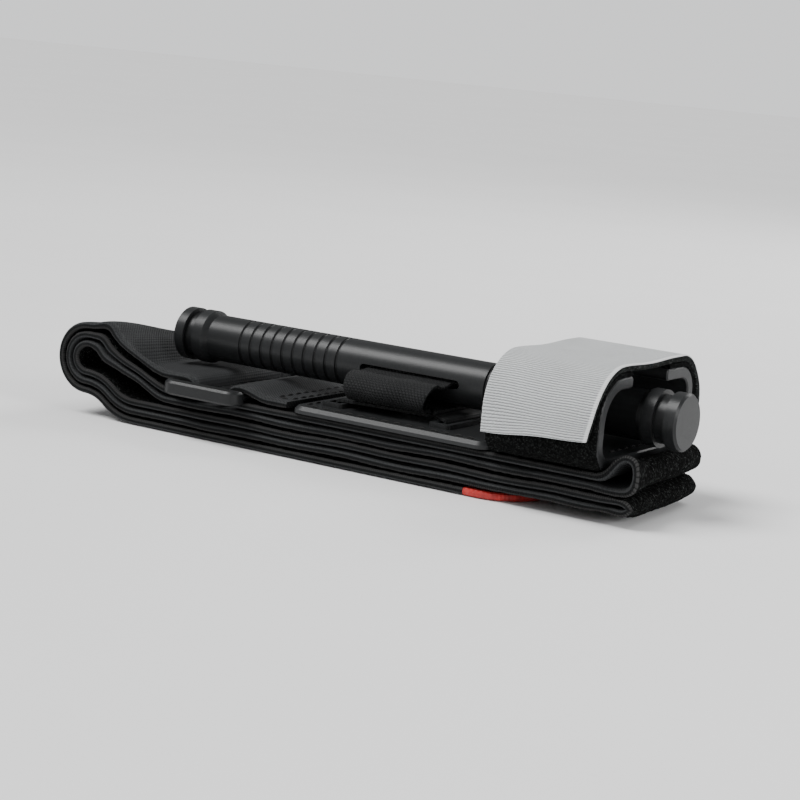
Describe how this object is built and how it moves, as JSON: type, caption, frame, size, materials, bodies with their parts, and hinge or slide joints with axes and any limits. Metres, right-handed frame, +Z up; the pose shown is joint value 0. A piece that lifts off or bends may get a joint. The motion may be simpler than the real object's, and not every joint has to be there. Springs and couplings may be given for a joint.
{
  "type": "windlass tourniquet",
  "caption": "Windlass tourniquet folded flat for carrying: hook-and-loop band with a friction buckle, the rod parked in a two-sided clip under a grey closing strap.",
  "frame": {"origin": "on the flat bottom face of the folded band, straight below the middle of the windlass rod", "axes": "+X along the parked rod and the folded band, towards the windlass clip; +Y across the band, towards the side the closing strap hinges on; +Z up, away from the bottom face"},
  "size_m": [0.1542, 0.0485, 0.0323],
  "materials": {
    "band_webbing": "black hook-and-loop webbing, matt",
    "ribbon_webbing": "black nylon ribbon, low sheen",
    "moulded_polymer": "charcoal moulded polymer, satin",
    "rod_polymer": "charcoal filled polymer, satin",
    "hook_tape": "black hook tape, rough",
    "strap_lining": "black fuzzy lining",
    "strap_face": "light grey ribbed tape",
    "thread": "black bonded thread",
    "tip_tab": "red coated tab, satin"
  },
  "bodies": {
    "base": {"band_upper": "band_webbing", "ribbon_anchor": "ribbon_webbing", "ribbon_upper": "ribbon_webbing", "band_through_buckle": "band_webbing", "friction_buckle": "moulded_polymer", "buckle_stitching": "thread", "base_plate": "moulded_polymer", "plate_stitching": "thread", "windlass_clip": "moulded_polymer", "clip_stitching": "thread", "hook_tape_front": "hook_tape", "hook_tape_rear": "hook_tape", "strap_lining_rear": "strap_lining", "strap_face_rear": "strap_face", "anchor_stitching": "thread"},
    "strap_top": {"strap_lining_top": "strap_lining", "strap_face_top": "strap_face"},
    "strap_tip": {"strap_lining_front": "strap_lining", "strap_face_front": "strap_face"},
    "ribbon": {"windlass_ribbon": "ribbon_webbing"},
    "windlass": {"windlass_rod": "rod_polymer"},
    "fold": {"tail_fold": "band_webbing", "band_fold_outer": "band_webbing", "band_fold_inner": "band_webbing", "ribbon_fold": "ribbon_webbing"},
    "lower_half": {"band_lower": "band_webbing", "ribbon_lower": "ribbon_webbing", "tail_lower": "band_webbing"},
    "tail_tip": {"tail_end": "band_webbing", "tip_tab": "tip_tab", "tip_stitching": "thread"}
  },
  "joints": [
    {"name": "strap_open", "type": "hinge", "parent": "base", "child": "strap_top", "pos_m": [0.043, 0.02168, 0.02988], "axis": [-1, 0, 0], "range_deg": [0, 150], "deforming": ["strap_lining_rear", "strap_face_rear"]},
    {"name": "strap_tip_peel", "type": "hinge", "parent": "strap_top", "child": "strap_tip", "pos_m": [0.043, -0.02093, 0.02913], "axis": [-1, 0, 0], "range_deg": [0, 100], "deforming": ["strap_lining_front", "strap_face_front"]},
    {"name": "windlass_lift", "type": "slide", "parent": "base", "child": "ribbon", "axis": [0, 0, 1], "range_m": [0, 0.02], "deforming": ["windlass_ribbon"]},
    {"name": "windlass_turn", "type": "hinge", "parent": "ribbon", "child": "windlass", "pos_m": [0, 0, 0.0206], "axis": [0, 0, 1], "range_deg": [-10, 10]},
    {"name": "unfold_upper_bend", "type": "hinge", "parent": "base", "child": "fold", "pos_m": [-0.08436, 0, 0.01796], "axis": [0, 1, 0], "range_deg": [0, 90], "deforming": ["tail_fold", "band_fold_outer", "band_fold_inner", "ribbon_fold"]},
    {"name": "unfold_lower_bend", "type": "hinge", "parent": "fold", "child": "lower_half", "pos_m": [-0.08436, 0, 0.00924], "axis": [0, 1, 0], "range_deg": [0, 90]},
    {"name": "tail_peel", "type": "hinge", "parent": "lower_half", "child": "tail_tip", "pos_m": [0.008, 0, 0], "axis": [0, 1, 0], "range_deg": [0, 60]}
  ],
  "couplings": [
    {"joint": "windlass_lift", "follows": "strap_open", "m_per_rad": 0.0076},
    {"joint": "unfold_lower_bend", "follows": "unfold_upper_bend", "ratio": 1}
  ]
}
